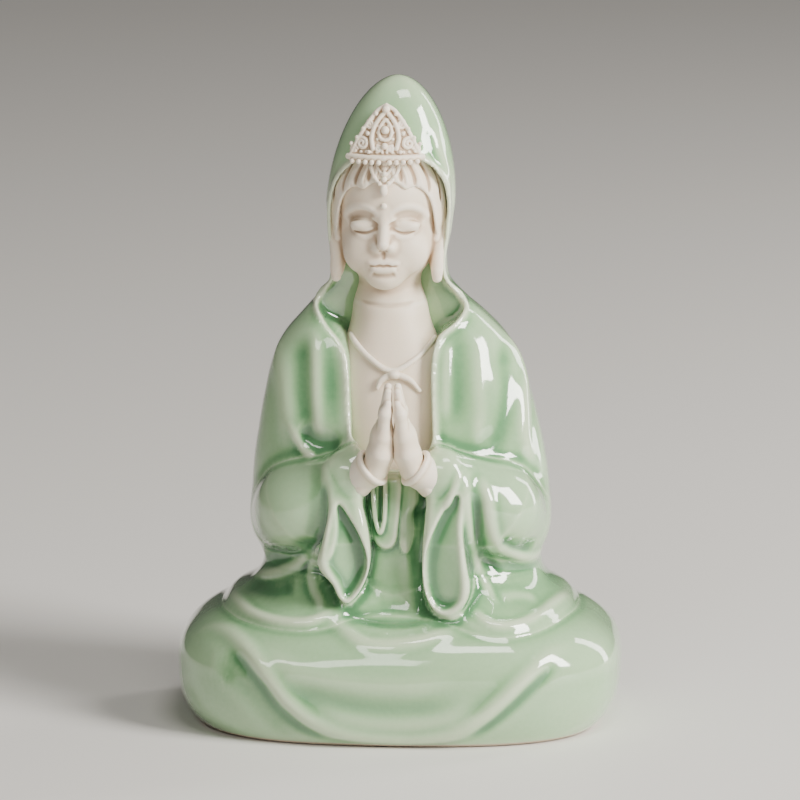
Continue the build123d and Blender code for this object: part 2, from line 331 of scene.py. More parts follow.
def without_crumbs(corners, quads):
    """The mesh with its small loose pieces left out."""
    label = np.arange(len(corners))
    while True:
        lowest = label.copy()
        met = label[quads]
        np.minimum.at(lowest, met.ravel(), met.min(1).repeat(4))
        lowest = lowest[lowest]
        if np.array_equal(lowest, label):
            break
        label = lowest
    owner = label[quads[:, 0]]
    quads = quads[np.bincount(owner, minlength=len(corners))[owner] >= CRUMB]
    used, quads = np.unique(quads, return_inverse=True)
    return corners[used], quads.reshape(-1, 4)


def mesh_field(name, node, field, low, high, cell, material):
    """Meshes a field's skin, corners on the exact skin, and makes it stand for a CAD node."""
    cell = cell * COARSEN
    low, high = np.array(low, float) - 2 * cell, np.array(high, float) + 2 * cell
    limit = 3 * cell
    grid = openvdb.FloatGrid(limit)
    grid.copyFromArray(np.clip(boxed(field, low, high, cell), -limit, limit).astype(np.float32))
    corners, quads = without_crumbs(*grid.convertToQuads(0.0))
    points = (corners * cell + low).astype(np.float32)
    for _ in range(PULLS):
        normals, steepness = skin_slopes(field, points, 0.25 * cell)
        points -= normals * np.clip(field(points) / steepness, -0.4 * cell, 0.4 * cell)[:, None]
    mesh = bpy.data.meshes.new(name)
    mesh.vertices.add(len(points))
    mesh.vertices.foreach_set("co", (points * GRID + ORIGIN).astype(np.float32).ravel())
    mesh.loops.add(quads.size)
    mesh.loops.foreach_set("vertex_index", quads[:, ::-1].astype(np.int32).ravel())
    mesh.polygons.add(len(quads))
    mesh.polygons.foreach_set("loop_start", np.arange(0, quads.size, 4, dtype=np.int32))
    mesh.polygons.foreach_set("use_smooth", np.ones(len(quads), bool))
    mesh.update(calc_edges=True)
    store_relief(mesh, field, points)
    mesh.materials.append(material)
    piece = bpy.data.objects.new(name, mesh)
    bpy.context.scene.collection.objects.link(piece)
    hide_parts(node)
    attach(piece, "root")


# ---------------------------------------------------------------- glazed robe: lap, mantle, sleeves, sash

LAP_WAIST = 14
LAP_SQUARENESS = 2.8  # the power of its plan, where 2 is an oval
# (z, half width, front reach, back reach, middle x)
TRUNK = smooth_levels([
    (20, 42, 27, 33, 0), (26, 38.6, 25.2, 31.2, 0), (28.5, 35.6, 23.4, 30, 0.2),
    (31.5, 32.8, 21.4, 28.8, 0.4), (35, 31.6, 19.8, 27.8, 0.5), (39, 31.6, 18.6, 27, 0.5),
    (44, 32.6, 17.8, 26.4, 0.4), (50, 33.6, 17.3, 25.8, 0.2), (58, 33.2, 16.9, 24.8, 0),
    (66, 31.9, 16.2, 23.9, -0.2), (74, 30.2, 14.9, 22.8, -0.5), (82, 27.9, 13.2, 21.6, -0.9),
    (88, 24.9, 11.4, 20.2, -1.2), (92.5, 20.8, 9.6, 18.8, -1.5), (96, 17.2, 8.2, 17.4, -2),
    (100, 13.8, 7.6, 16.4, -2.3), (105, 12.8, 8.2, 15.8, -2.4), (112, 13.9, 9.6, 15.8, -2.4),
    (118, 14.5, 11, 15.8, -2.2),
])
HOOD_DOME = 28.6
HOOD_FOOT = 118  # height at which the hood's dome starts, which tips a little to the figure's left
ROBE_PANEL = smooth_levels([
    (22, 15, 23.6, 4, 0), (28, 14, 22.6, 4, 0), (36, 12.6, 21.4, 4, 0.2), (46, 12, 20.4, 4, 0.2),
    (54, 11.4, 19.4, 4, 0), (60, 10.8, 17.4, 4, -0.6),
])
# Front opening of the mantle in the front view: up the right edge, round the brow and down the left edge
OPENING = closed_outline(
    (-9.8, 50), (-9.9, 60), (-10, 70), (-10.2, 80), (-11, 86), (-13, 90), (-16.4, 92.4), (-18.4, 95),
    (-17.6, 97.6), (-15.2, 100), (-14.7, 104), (-15.2, 111), (-15.2, 118), (-13.8, 123.5),
    (-10.8, 127.4), (-7, 129.6), (-1.8, 130.6), (3.4, 129.6), (7.2, 127.4), (10, 123.5), (10.8, 118),
    (10.2, 111), (9.4, 104), (10.6, 100), (13.4, 97.4), (14.6, 94.8), (12.6, 92), (9.2, 89.4),
    (7.8, 85), (7.6, 79), (8, 70), (8.4, 60), (8.4, 50),
)
OPENING_MIDDLE = -2.0
MITRE = 0.6  # radius of the mantle's rolled edge
# Edge of the mantle's hem seen from above: (x, y), y taking the place of z
HEM = closed_outline(
    (-37.5, -4), (-37, -12), (-34.5, -19), (-30, -23.6), (-25, -26.2), (-19, -27.2), (-14, -26),
    (-10, -22), (0, -18), (11, -23), (16, -26.6), (21, -28), (27, -27), (32, -23.6), (35.5, -18),
    (37.2, -10.5), (37.6, -2), (37, 10), (33, 21), (23, 28.6), (8, 31.4), (-8, 31.4), (-23, 28.6),
    (-33, 21), (-37, 10),
)


def lap_body(p):
    """Crossed legs under cloth: a cushion, widest at LAP_WAIST and flatter above it."""
    middle = (0, 0.1, LAP_WAIST)
    upper = pillow(p, middle, (50.2, 35, 17.8), LAP_SQUARENESS, 2.4)
    lower = pillow(p, middle, (50.2, 35, 22), LAP_SQUARENESS, 2.8)
    return keep(np.where(p[:, 2] > LAP_WAIST, upper, lower), -p[:, 2], 1.2)


def trunk_body(p):
    q = p.copy()
    q[:, 0] -= 0.058 * np.maximum(p[:, 2] - HOOD_FOOT, 0)
    return stack(q, TRUNK, dome=HOOD_DOME, crown=1.85)


def skirt(p):
    """The mantle's hem, spread over the lap."""
    out = np.full(len(p), FAR, np.float32)
    rows = np.nonzero((p[:, 2] > 16) & (p[:, 2] < 36))[0]
    if len(rows):
        q = p[rows]
        out[rows] = keep(lap_body(q) - 1.5, outline_distance(q[:, [0, 2, 1]], HEM), 2.6)
    return out


# Each sleeve: its forearm's bones, the outline of its hanging mouth in the front view, the outline of the
# hollow in that mouth, and the hollow's floor, as its depth at x = 0 and its slope
SLEEVES = {
    "right_sleeve": {
        "forearm": ([(-23.6, -5, 46.8), (-21, -12.4, 50.6), (-10.2, -19.9, 60)], (10.0, 9.2, 5.1)),
        "mouth": closed_outline(
            (-8.8, 66), (-8.5, 60), (-7.1, 54), (-5.7, 48.2), (-5.1, 43.4), (-5.4, 39.6), (-6.6, 36),
            (-8.7, 32.7), (-10.6, 31.4), (-12.4, 33), (-13.7, 35.8), (-16.2, 38.6), (-17, 41.4),
            (-15.8, 46), (-15, 52), (-14.7, 58), (-14.2, 63),
        ),
        "hollow": closed_outline(
            (-12, 54), (-9.6, 50.4), (-7.6, 46.6), (-6.3, 42.8), (-6.3, 39.4), (-7.5, 36), (-9.6, 33),
            (-11.4, 33), (-13, 36.2), (-15.2, 39.8), (-15.8, 43.6), (-14.8, 48.6), (-13.4, 52.8),
        ),
        "floor": (5.4, 0.32),
    },
    "left_sleeve": {
        "forearm": ([(23.8, -5, 46.8), (21.3, -12.6, 51), (10.8, -20, 60.4)], (10.2, 9.4, 5.2)),
        "mouth": closed_outline(
            (9.4, 65), (8.2, 60), (7.3, 55), (6.8, 50), (6.4, 44), (6.5, 37), (7.6, 32.4), (9.8, 29.6),
            (12.6, 29), (15.4, 30.8), (17, 34.6), (16.2, 41), (15.4, 47.4), (15, 54), (15, 60),
        ),
        "hollow": closed_outline(
            (13.8, 56.6), (12.2, 54.6), (10.5, 51.6), (8.7, 47.4), (7.3, 42.6), (7, 37.6), (8, 33),
            (10.2, 30.4), (13, 30.4), (15.8, 32.6), (16.6, 38), (16.2, 43), (15.8, 49), (15.4, 55),
        ),
        "floor": (5.4, -0.32),
    },
}
# How far forward the edge of a sleeve's mouth is, by height
MOUTH_FRONT = ((26, 34, 45, 55, 66), (-26.8, -27.4, -27.2, -25.4, -20.8))
# The sash: two tongues laid on the robe, seen from the front, and the loop of its knot
TONGUES = [
    (1.1, closed_outline(
        (-6.4, 60), (-6.3, 51), (-5.6, 46.6), (-4.2, 44), (-2.2, 43), (-0.2, 44), (0.8, 48), (1, 60),
    )),
    (0.5, closed_outline(
        (0.6, 60), (0.8, 48), (1.4, 43.6), (2.6, 42), (4, 43.4), (4.6, 48), (4.8, 60),
    )),
]
KNOT_LOOP = [(-5.2, 58), (-4.8, 53), (-4.2, 49), (-3.3, 46.8), (-2.5, 48.8), (-2.2, 53), (-2.3, 58)]


def sleeve(p, name):
    """A forearm whose wide mouth hangs down as an open, teardrop loop of cloth."""
    part = SLEEVES[name]
    front = np.interp(p[:, 2], *MOUTH_FRONT)
    drop = keep(outline_distance(p, part["mouth"]), np.maximum(front - p[:, 1], p[:, 1] + 15), 2.0)
    body = join(limb(p, *part["forearm"], soft=6), drop, 4)
    depth, slope = part["floor"]
    floor = 0.9 * (p[:, 1] - front - depth - slope * p[:, 0])
    return cut(body, keep(outline_distance(p, part["hollow"]) - 0.3, floor, 2.8), 0.5)


def opening(p):
    """The mantle's front opening, which closes backwards towards both its sides."""
    rows = np.nonzero((np.abs(p[:, 0] - OPENING_MIDDLE) < 24) & (p[:, 2] > 40) & (p[:, 2] < 140))[0]
    out = np.full(len(p), FAR, np.float32)
    q = p[rows]
    slant = q[:, 1] - 3.4 + 0.4 * np.abs(q[:, 0] - OPENING_MIDDLE)
    out[rows] = keep(outline_distance(q, OPENING), slant * 0.9, 1.5)
    return out


OPENING_EDGE = curve(
    on_skin(trunk_body, [(x, z) for x, _, z in OPENING[:-1:3] if z > 56]), per_span=4
)


def mantle_body(p):
    body = join(trunk_body(p), tube(p, OPENING_EDGE, MITRE), 1.8)
    body = cut(body, opening(p), 0.6)
    return join(body, skirt(p), 9)


def under_robe_body(p):
    return stack(p, ROBE_PANEL, 2.6)


def tongue(p, rise, outline):
    return keep(under_robe_body(p) - rise, outline_distance(p, outline), 1.0)


KNOT_CORD = curve(on_skin(lambda p: under_robe_body(p) - 1.3, KNOT_LOOP))
KNOT_SLIT = curve(on_skin(lambda p: under_robe_body(p) - 1.2, [(-3.3, 57), (-3.3, 53), (-3.2, 49.6)]))


def sash_body(p):
    body = np.full(len(p), FAR, np.float32)
    rows = np.nonzero((np.abs(p[:, 0]) < 12) & (p[:, 1] < -8) & (p[:, 2] > 34) & (p[:, 2] < 66))[0]
    if len(rows):
        q = p[rows]
        cloth = np.minimum(*[tongue(q, *row) for row in TONGUES])
        slit = tube(q, KNOT_SLIT, 0.5)
        body[rows] = cut(join(keep(cloth, q[:, 2] - 59, 1), tube(q, KNOT_CORD, 0.5), 0.5), slit, 0.4)
    return body


def robe_bodies(p):
    """The bodies of the robe's pieces, in the order that robe_piece counts them."""
    return [
        lap_body(p),
        mantle_body(p),
        np.where(p[:, 2] < 60, under_robe_body(p), FAR),
        sleeve(p, "right_sleeve"),
        sleeve(p, "left_sleeve"),
        sash_body(p),
    ]


def robe_union(bodies):
    lap, mantle, under, right, left, sash = bodies
    whole = join(join(mantle, right, 2.6), left, 2.6)
    whole = join(whole, join(under, sash, 0.8), 0.8)
    return join(whole, lap, 1.2)


def plain_robe(p):
    return robe_union(robe_bodies(p))


def front_folds(*rows):
    """Folds drawn on the front skin, each (width, height, (x, z), (x, z), ...)."""
    return [(curve(on_skin(plain_robe, row[2:])), row[0], row[1]) for row in rows]


def back_folds(*rows):
    return [(curve(on_skin(plain_robe, row[2:], "front")), row[0], row[1]) for row in rows]


FOLDS = front_folds(
    # Lap: the crescent edge that hangs from knee to knee, the hollow below it and the swags inside it
    (2.0, 1.3, (-47, 20), (-42, 23.6), (-37.2, 24), (-32.2, 21.4), (-27.9, 16.5), (-23.3, 10.9),
     (-17.4, 6.2), (-11, 3.6), (-4, 2.2), (4.2, 1.8), (12.4, 3.4), (19.4, 7.2), (25, 12), (30.4, 17),
     (36, 21.4), (42, 22)),
    (1.7, -0.7, (-38, 21), (-34, 18.6), (-29.8, 14.4), (-25.6, 8.8), (-19.4, 4), (-12.6, 1.6)),
    (1.7, -0.5, (16, 2.6), (21.6, 6), (27.2, 10.6), (32.6, 15.6), (37.5, 19.6)),
    (3.4, -0.75, (-41, 16.4), (-36, 16.4), (-31, 12), (-26, 6.4), (-19, 1.6)),
    (3.0, 0.45, (-36, 24), (-27, 20), (-18, 16.8), (-6, 15), (6, 15), (16, 17)),
    (3.2, -0.45, (-24, 15.6), (-16, 11.8), (-5, 9.8), (6, 9.8), (17, 12)),
    (2.4, 0.4, (-20, 11.4), (-10, 7), (1, 5.8), (12, 7.2), (20, 11)),
    (1.8, 0.8, (-16, 28), (-11.8, 26.6), (-7, 24.2), (-1, 23.6), (6, 24.4), (12, 25.8), (18, 26)),
    (1.6, -0.7, (-12, 30.6), (-5, 27.4), (2, 27.2), (9, 28.4)),
    # Mantle's front panels, from the collar down into the crooks of the arms
    (2.8, 0.8, (-27, 88), (-26.2, 80), (-25, 72), (-23, 64)),
    (2.6, -0.8, (-21.4, 90), (-21.8, 82), (-21.4, 74), (-20, 66)),
    (1.5, 0.45, (-18.6, 92), (-18.4, 82), (-18, 73), (-17.4, 64)),
    (3.4, -1.7, (-13.8, 96), (-14.2, 87), (-14, 76), (-13.6, 62)),
    (2.2, -1.5, (-22.6, 68), (-17.6, 65.8), (-12, 66)),
    (0.9, 0.9, (-24.4, 70), (-22.6, 66.4), (-20.6, 63.6), (-18, 62.6)),
    (1.7, 0.4, (17.6, 90), (18.2, 80), (18.4, 71), (18, 62)),
    (2.8, -1.0, (22.4, 90), (24, 83), (24.6, 76), (22.8, 67), (20, 62)),
    (1.8, 0.8, (24, 92), (27, 82), (28.2, 74), (28.4, 66), (30.6, 58)),
    (2.4, -0.5, (13.6, 92), (13.6, 84), (13.6, 74), (13.4, 63)),
    (1.5, 0.4, (11, 90), (10.6, 80), (10.8, 70)),
    # Right sleeve: the crease beside its mouth and the long edge that sweeps out to the hem
    (1.1, -1.0, (-15.4, 60), (-15.6, 54), (-16, 48), (-17.6, 43), (-20, 38.6), (-21, 35)),
    (0.7, 0.5, (-13.4, 56), (-13, 50), (-13.6, 45), (-14.6, 41)),
    (1.3, 1.5, (-15.8, 47), (-17.2, 43), (-19.8, 39.4), (-24, 36.6), (-29, 34.2), (-34, 32)),
    (2.6, -1.0, (-31, 38.6), (-26, 39.6), (-21.6, 42), (-18.6, 46)),
    (2.4, -0.6, (-35, 30.6), (-28, 31.6), (-22, 33.4)),
    (0.9, 1.2, (-11.8, 32.4), (-13.8, 35.8), (-16.2, 38.6), (-18.4, 38.4), (-19, 36), (-18.2, 33),
     (-16.8, 31), (-16.4, 28.8)),
    (1.0, -0.7, (-14.4, 34), (-15.8, 35.8), (-17, 35.4)),
    (1.2, 1.0, (-39, 29.2), (-34.6, 28.6), (-30, 27.6), (-24, 27.2), (-18, 27.8), (-13, 30)),
    # Left sleeve: the long edges beside the mouth, fanning out on to the knee
    (0.8, 0.6, (11.2, 52.6), (12.6, 56), (13.8, 59), (14.8, 62.4)),
    (1.1, 0.6, (15.6, 61), (16.4, 54), (16.8, 47), (17.4, 41.6), (18.8, 36.8), (20.8, 33), (23.4, 30)),
    (1.2, -0.8, (18.2, 57), (18.6, 51), (19.2, 44), (21, 39), (24, 35.6)),
    (1.3, 1.1, (18.6, 60.7), (20.6, 56), (21.4, 50), (22.6, 45), (25.4, 41.4), (29, 39.2), (34, 38.6)),
    (2.2, -0.9, (23, 46), (26.4, 43.2), (31, 41.8)),
    (1.2, 1.0, (17.4, 31), (20, 28.4), (24.6, 27.2), (30.8, 27.8), (35.6, 29.4), (38.4, 29.6)),
    (1.6, 0.35, (23, 31.4), (27, 31.6), (32, 30.4)),
    # Under robe: the glaze lies deep beside the left sleeve
    (1.7, -1.0, (4.6, 60), (4.8, 50), (4.8, 40), (5.6, 32), (8, 28)),
    # Hood
    (1.3, 0.3, (7.6, 137), (9, 131), (10.8, 125.4), (11.6, 119)),
    (1.3, -0.3, (6, 136), (7.4, 131), (9.4, 126)),
) + back_folds(
    (3.2, 1.5, (-9, 92), (-13, 76), (-18, 56), (-22, 34)),
    (3.2, -1.5, (-4, 90), (-7, 74), (-10, 54), (-13, 32)),
    (3.0, 1.4, (0, 92), (-1, 74), (-2, 54), (-4, 32)),
    (3.4, -1.5, (5, 90), (7, 72), (8, 52), (7, 32)),
    (3.2, 1.5, (8, 92), (13, 76), (17, 56), (20, 34)),
    (3.4, -1.3, (14, 86), (21, 68), (25, 50), (27, 34)),
    (3.4, -1.3, (-15, 86), (-21, 68), (-26, 50), (-28, 34)),
    (2.4, 0.8, (-11, 106), (-6, 101), (0, 99), (6, 101), (9, 106)),
    (2.4, -0.8, (-10, 102), (-5, 97), (0, 95.4), (5, 97), (9, 102)),
)


def robe_skin(p, bodies):
    """The whole robe with its folds, which fade out towards the foot."""
    return robe_union(bodies) - relief(p, FOLDS) * step(p[:, 2], -0.5, 3)


SEAM_DIVE = 0.7  # how steeply a piece dives under its neighbours beyond its seams
SEAM_LAP = 1.5  # how far it goes on under them


def robe_piece(index):
    """One piece's share of the robe: beyond its own seams it dives just under its neighbours."""

    def field(p):
        bodies = robe_bodies(p)
        own = bodies[index]
        others = np.min([b for i, b in enumerate(bodies) if i != index], 0)
        beyond = (own - others) / 2
        skin = robe_skin(p, bodies) + SEAM_DIVE * np.maximum(beyond, 0)
        return np.maximum(skin, beyond - SEAM_LAP).astype(np.float32)

    return field


# The slab is luted into this hollow of the foot, a little wider than the slab and higher than its top
SLAB_LOW, SLAB_HIGH = grid_box("base_slab")
FOOT_HOLLOW_TOP = SLAB_HIGH[2] + 6


def hollow_lap(p):
    """The lap's share, opened from below."""
    q = p - vec(*((SLAB_LOW + SLAB_HIGH) / 2 * (1, 1, 0)))
    half = (SLAB_HIGH - SLAB_LOW) / 2
    power = LAP_SQUARENESS
    wide = np.abs(q[:, 0]) / half[0]
    deep = np.abs(q[:, 1]) / half[1]
    size = (wide**power + deep**power) ** (1 / power) + TINY
    r = np.sqrt(q[:, 0] ** 2 + q[:, 1] ** 2)
    wall = np.where(size > 0.3, r - r / size, -0.7 * half[1]) - 0.05
    hollow = keep(wall, p[:, 2] - FOOT_HOLLOW_TOP, 3)
    return np.maximum(cut(robe_piece(0)(p), hollow, 0.8), -p[:, 2]).astype(np.float32)


# ---------------------------------------------------------------- bisque: chest, head, hair, crown, hands

HEAD_LOW, HEAD_HIGH = grid_box("head")
HEAD_X = (HEAD_LOW[0] + HEAD_HIGH[0]) / 2 - 0.9
CHIN = 99.5
FOREHEAD_TOP = 126.5  # the face is three equal parts high: chin to nose, nose to brow, brow to hairline
THIRD = (FOREHEAD_TOP - CHIN) / 3
NOSE_Z, BROW_Z = CHIN + THIRD, CHIN + 2 * THIRD
EYE_Z = BROW_Z - 0.36 * THIRD
MOUTH_Z = NOSE_Z - THIRD / 3
SEAM_Z = 95.5  # the neck's join, in its crease
NECK_DIVE, NECK_LAP = 0.6, 2  # beyond that join, head and chest dive into each other like the robe's pieces

CHEST = smooth_levels([
    (54, 14.5, 16.2, 3, -0.8), (62, 14.5, 15.4, 3, -0.8), (70, 14.5, 14.2, 3, -0.9),
    (78, 14.5, 12.8, 3, -1.1), (84, 12.6, 11.4, 3, -1.4), (88, 10, 9.8, 3, -1.8),
    (92, 8.2, 8.2, 3, -2.1), (96, 7.4, 6.8, 3, -2.3),
])


def chest_body(p):
    neck = limb(p, [(HEAD_X, 1.2, 106), (HEAD_X + 0.3, 1.4, 88)], (6.7, 7.6))
    top = keep(stack(p, CHEST), p[:, 2] - 96, 3)
    return join(top, neck, 4)


def face_frame(p):
    """The head's own frame, turned a little to its right and tipped to its left; x is off its midline."""
    q = p.copy()
    q[:, 0] = np.abs(p[:, 0] - HEAD_X - 0.04 * p[:, 1] - 0.01 * (p[:, 2] - 110))
    return q


def skull(q):
    body = egg(q, (0, 0.6, 116.5), (11.2, 12.2, 14.5))
    body = join(body, egg(q, (0, -1.5, CHIN + 9.4), (10.1, 10.3, 9.2)), 4)
    body = join(body, egg(q, (0, -3, 120.5), (9.6, 9.3, 8.4)), 4)
    body = join(body, egg(q, (4.7, -8.3, NOSE_Z - 0.6), (4.4, 3.3, 4.6)), 2.5)
    body = join(body, egg(q, (0, -8.9, CHIN + 2.9), (3.9, 3.2, 2.9)), 2.6)
    return join(body, egg(q, (0, -9.9, MOUTH_Z), (4.0, 2.2, 2.6)), 2.6)


def face_folds(*rows):
    """Fine relief on the face, each (width, height, (x, z), ...), z being above the eyes."""
    return [
        (curve(on_skin(skull, [(x, EYE_Z + z) for x, z in row[2:]])), row[0], row[1]) for row in rows
    ]


EYE = on_skin(skull, [(4.5, EYE_Z)])[0] + vec(0, 1.5, 0)
MOUTH_DROP = MOUTH_Z - EYE_Z
FACE_LINES = face_folds(
    (0.85, 0.4, (0.9, 2), (2.4, 3.6), (4.6, 4.4), (7, 4), (9, 2.2), (9.8, 0.6)),  # brow
    (1.5, -0.7, (1.8, 1.6), (3.4, 2.3), (5.4, 2.4), (7.4, 1.6), (8.6, 0.4)),  # socket under it
    (1.2, -0.6, (1.6, 1.4), (1.9, 0.3), (1.8, -1.2)),  # inner corner, beside the nose
    (0.8, 0.36, (4, MOUTH_DROP + 0.1), (2.6, MOUTH_DROP + 0.5), (0.9, MOUTH_DROP + 0.95),
     (0, MOUTH_DROP + 0.8), (-1, MOUTH_DROP + 0.9)),
    (1.0, 0.45, (3.0, MOUTH_DROP - 0.2), (1.6, MOUTH_DROP - 0.8), (0, MOUTH_DROP - 1),
     (-1.6, MOUTH_DROP - 0.8)),
    (0.32, -0.5, (3.9, MOUTH_DROP + 0.25), (2, MOUTH_DROP - 0.05), (0.8, MOUTH_DROP + 0.1),
     (0, MOUTH_DROP), (-1.4, MOUTH_DROP)),
    (0.8, -0.35, (-1.8, MOUTH_DROP - 2.1), (0, MOUTH_DROP - 2.2), (1.8, MOUTH_DROP - 2.1),
     (2.8, MOUTH_DROP - 1.6)),
    (0.45, -0.2, (0, MOUTH_DROP + 3.4), (0, MOUTH_DROP + 2.4), (0, MOUTH_DROP + 1.2)),  # philtrum
)
LID_LINES = face_folds(
    (0.3, -0.42, (1.2, -0.3), (2.6, -0.95), (4.4, -1.4), (6.2, -1.1), (8.2, 0.1)),  # closed lids meet
    (0.32, 0.18, (1.4, 0.1), (2.6, -0.5), (4.4, -0.95), (6.2, -0.65), (8, 0.5)),
    (0.28, -0.25, (1.6, 0.6), (3, 1.5), (4.6, 1.75), (6.4, 1.3), (7.8, 0.4)),  # crease of the upper lid
    (0.5, 0.14, (2, -1.8), (4.4, -2.4), (6.8, -1.8)),
)
EAR_RIM = curve([
    (10.4, -4.6, 117), (11.6, -3.6, 118), (12.4, -3.2, 115.5), (12.2, -3.6, 111), (11.5, -4.4, 107),
    (11.3, -4.9, 103.4), (11.3, -5, 101.6),
])
EAR_FOLD = curve([(10.6, -4.6, 115.6), (11.4, -4.2, 113.5), (11, -4.6, 110.5)])


def head_body(p):
    q = face_frame(p)
    body = skull(q) - relief(q, FACE_LINES)
    body = join(body, egg(q, EYE, (3.2, 2.0, 1.6)), 0.9) - relief(q, LID_LINES)
    bridge = curve([(0, -11.6, BROW_Z + 0.4), (0, -12.3, BROW_Z - 3), (0, -13.4, NOSE_Z + 2.1)])
    nose = tube(q, bridge, (0.85, 1.0, 1.35))
    nose = join(nose, egg(q, (1.4, -12.5, NOSE_Z + 1.3), (1.0, 1.2, 0.9)), 0.5)
    nose = cut(nose, egg(q, (0.75, -12.9, NOSE_Z + 0.35), (0.42, 0.75, 0.45)), 0.25)
    body = join(body, nose, 1.7)
    ear = join(tube(q, EAR_RIM, (0.6, 0.85, 0.85, 0.85, 1.2, 1.4, 1.1)), tube(q, EAR_FOLD, 0.6), 0.4)
    ear = join(ear, egg(q, (10.9, -2.9, 109.6), (1.9, 2.0, 8.6)), 0.8)
    return join(body, ear, 0.5)


NECK_CREASE = curve(
    on_skin(chest_body, [(HEAD_X + x, SEAM_Z + 0.012 * x * x) for x in (-6.5, -4, 0, 4, 6.5)])
)


def torso(p):
    """Head, neck and chest in one, before they part at the neck's crease."""
    crease = relief(p, [(NECK_CREASE, 0.6, -0.25)])
    return join(head_body(p), chest_body(p), 1.8) - crease


def torso_part(side):
    """The share of head and chest above (1) or below (-1) the seam."""

    def field(p):
        past = side * (SEAM_Z - p[:, 2])
        return np.maximum(torso(p) + NECK_DIVE * np.maximum(past, 0), past - NECK_LAP)

    return field


# Lower edge of the combed hair, seen from the front: level over the brow, then down before the ears
HAIRLINE = closed_outline(
    (0, 96), (-9.9, 97), (-10.7, 104), (-10.8, 112), (-10.2, 118), (-8.8, 121.4), (-6.6, 123),
    (-4.6, 122.6), (-2.6, 124), (0, 124.6), (2.6, 124), (4.6, 122.6), (6.6, 123), (8.8, 121.4),
    (10.2, 118), (10.8, 112), (10.7, 104), (9.9, 97),
)


def hair_cap(q):
    return join(egg(q, (0, 0.9, 117), (13.4, 15.1, 16.2)), egg(q, (0, -1, 131), (7, 9, 7)), 5)


LOCKS = [
    curve(on_skin(hair_cap, pairs)) for pairs in (
        ((0.9, 130.5), (1.4, 128.6), (1.9, 126.6), (2.4, 124.6)),
        ((2.4, 130.5), (3.6, 128.2), (4.8, 125.6), (5.2, 123.2)),
        ((4.4, 130.5), (6.2, 128), (7.8, 125), (8.4, 122)),
        ((6.4, 130), (8.8, 127), (10.6, 123.4), (11, 119)),
        ((9, 129), (11.2, 124.6), (12.3, 119.6), (12.3, 112)),
        ((12.2, 118), (12.5, 112), (12.3, 106), (11.8, 101)),
    )
]
PARTINGS = [(a + b) / 2 for a, b in zip(LOCKS[:-1], LOCKS[1:])]


def hair_body(p):
    q = face_frame(p)
    body = hair_cap(q) - relief(q, [(lock, 1.0, 0.55) for lock in LOCKS])
    body = keep(cut(body, np.maximum(outline_distance(q, HAIRLINE), q[:, 1] - 1), 1.1), q[:, 1] - 5, 1)
    strands = [(lock + vec(shift, -0.4, 0), 0.24, -0.2) for lock in LOCKS for shift in (-0.5, 0.45)]
    return body - relief(q, [(parting, 0.42, -0.55) for parting in PARTINGS] + strands)


CROWN_LOW, CROWN_HIGH = grid_box("crown")
CROWN_Z = CROWN_LOW[2]
CROWN_WIDE = (CROWN_HIGH[0] - CROWN_LOW[0]) / 2
CROWN_TALL = CROWN_HIGH[2] - CROWN_Z - 1.2  # without the bead on its tip
CROWN_FRONT = -13.2  # y of its base at the midline
CROWN_LEAN = 0.33  # how far back it goes for each step up
CROWN_BOW = 24  # its sides go back by the square of their distance from the midline over this


def on_crown(*pairs):
    """A path on the crown's leaning, bowed face: u across from the midline, v up from the base."""
    return curve([(u, CROWN_FRONT + CROWN_LEAN * v + u * u / CROWN_BOW, CROWN_Z + v) for u, v in pairs])


def spiral(u, v, radius, turns, start, way=1):
    """A scroll on the crown's face, winding in from its radius."""
    steps = 14
    pairs = []
    for i in range(steps + 1):
        angle = start + way * turns * 2 * math.pi * i / steps
        r = radius * (1 - 0.8 * i / steps)
        pairs.append((u + r * math.cos(angle), v + r * math.sin(angle)))
    return on_crown(*pairs)


def crown_half_width(share):
    """Half the crown's width, that share of the way up to its tip."""
    return CROWN_WIDE * (1 - share) ** 0.62


CROWN_EDGE = on_crown(
    *[(crown_half_width(share) - 0.2, share * CROWN_TALL) for share in np.linspace(1, 0.02, 12)]
)
CROWN_WIRES = [
    (CROWN_EDGE, 0.5), (on_crown((0, 0.4), (3, 0.4), (6, 0.4), (CROWN_WIDE, 0.4)), 0.7),
    (on_crown((0, 10.4), (1.3, 9), (2.5, 6.9), (3, 4.6), (2.6, 2.4)), 0.55),
    (on_crown((0, 8.6), (0.9, 7.6), (1.4, 6), (1, 4.6), (0, 4.2)), 0.4),
    (spiral(5.1, 3.4, 1.35, 1.5, 0.5), 0.42), (spiral(6.9, 2.0, 0.85, 1.3, 2.8, -1), 0.38),
    (spiral(3.6, 7.4, 0.9, 1.3, 1.2), 0.36), (spiral(1.3, 2.3, 0.75, 1.3, 3.4, -1), 0.36),
]
CROWN_BEADS = [(u, -0.5, 0.6) for u in (1.2, 2.7, 4.2, 5.7, 7.2)] + [
    (0, 3, 0.75), (0, 6.4, 0.9), (0, 10.9, 0.95), (3.9, 5.6, 0.5), (6.3, 4.6, 0.5), (7.6, 3.2, 0.5),
    (5.0, 6.6, 0.45), (2.2, 9.9, 0.5), (3.5, 1.7, 0.45),
]
CROWN_GRAINS = [(u, v) for v in (1.6, 3.0, 4.4, 5.8, 7.2, 8.6) for u in (0.5, 1.7, 2.9, 4.1, 5.3, 6.5)]


